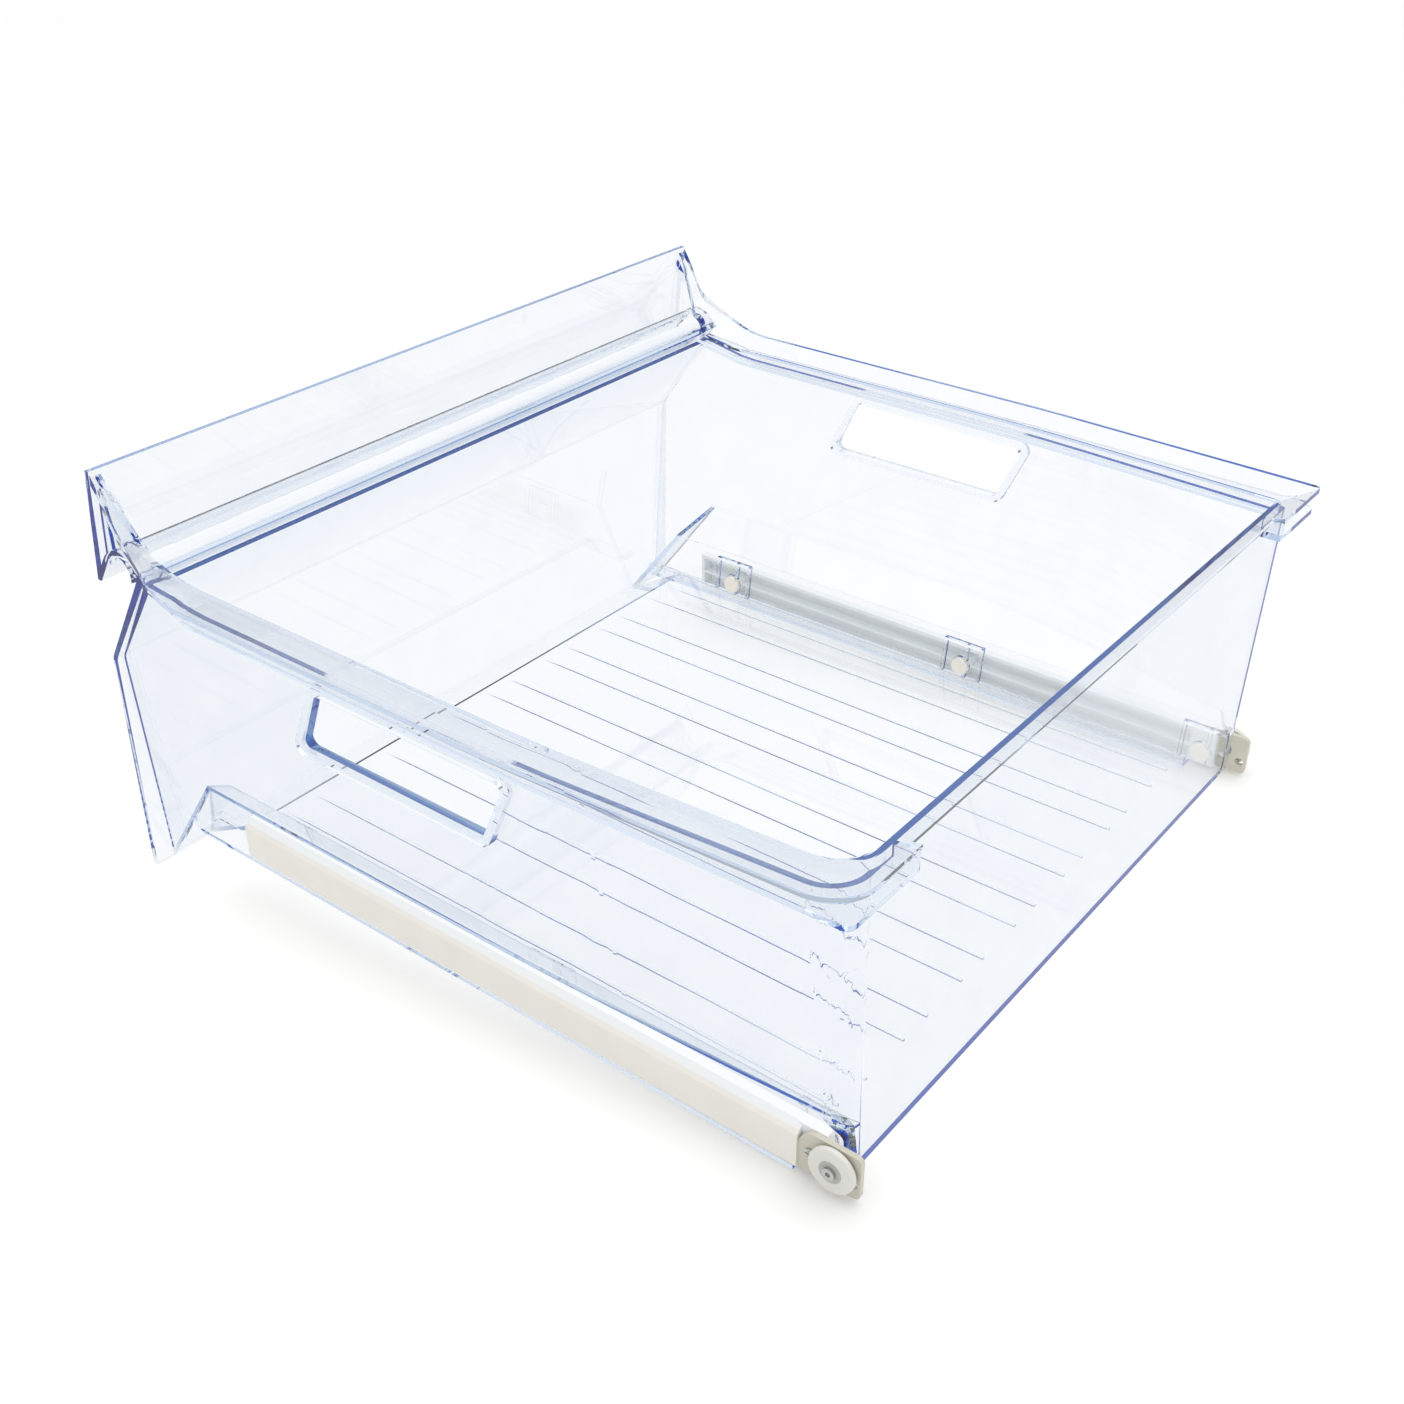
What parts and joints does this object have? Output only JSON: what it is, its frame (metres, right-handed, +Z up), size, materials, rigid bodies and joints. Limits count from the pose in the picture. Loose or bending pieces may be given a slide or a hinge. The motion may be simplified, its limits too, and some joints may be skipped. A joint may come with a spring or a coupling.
{
  "type": "refrigerator bin",
  "caption": "Clear moulded refrigerator bin with a pull lip, a finger recess, hand holes and side rails that carry rollers at the rear.",
  "frame": {"origin": "centre of the footprint, at the height of the front panel's lower edge", "axes": "+X across the bin, +Y from the pull lip to the rear wall, +Z up"},
  "size_m": [0.4632, 0.447, 0.238],
  "materials": {
    "clear_plastic": "clear, polished, faintly blue at the edges",
    "rail_plastic": "satin, cream",
    "bracket_plastic": "satin, warm grey",
    "roller_plastic": "smooth, off-white",
    "bush_plastic": "satin, grey",
    "rivet_steel": "bright, turned",
    "screw_steel": "plated"
  },
  "bodies": {
    "bin": {"tub": "clear_plastic", "rail_left": "rail_plastic", "rail_right": "rail_plastic", "rail_studs_left": "rail_plastic", "rail_studs_right": "rail_plastic", "axle_bracket_left": "bracket_plastic", "axle_bracket_right": "bracket_plastic", "axle_rivet_left": "rivet_steel", "axle_rivet_right": "rivet_steel", "bracket_screw_left": "screw_steel", "bracket_screw_right": "screw_steel"},
    "roller_wheel_left": {"roller_left": "roller_plastic", "roller_bush_left": "bush_plastic"},
    "roller_wheel_right": {"roller_right": "roller_plastic", "roller_bush_right": "bush_plastic"}
  },
  "joints": [
    {"name": "roller_spin_left", "type": "hinge", "parent": "bin", "child": "roller_wheel_left", "pos_m": [-0.2022, 0.2093, 0.0324], "axis": [1, 0, 0], "continuous": true},
    {"name": "roller_spin_right", "type": "hinge", "parent": "bin", "child": "roller_wheel_right", "pos_m": [0.2022, 0.2093, 0.0324], "axis": [1, 0, 0], "continuous": true}
  ]
}
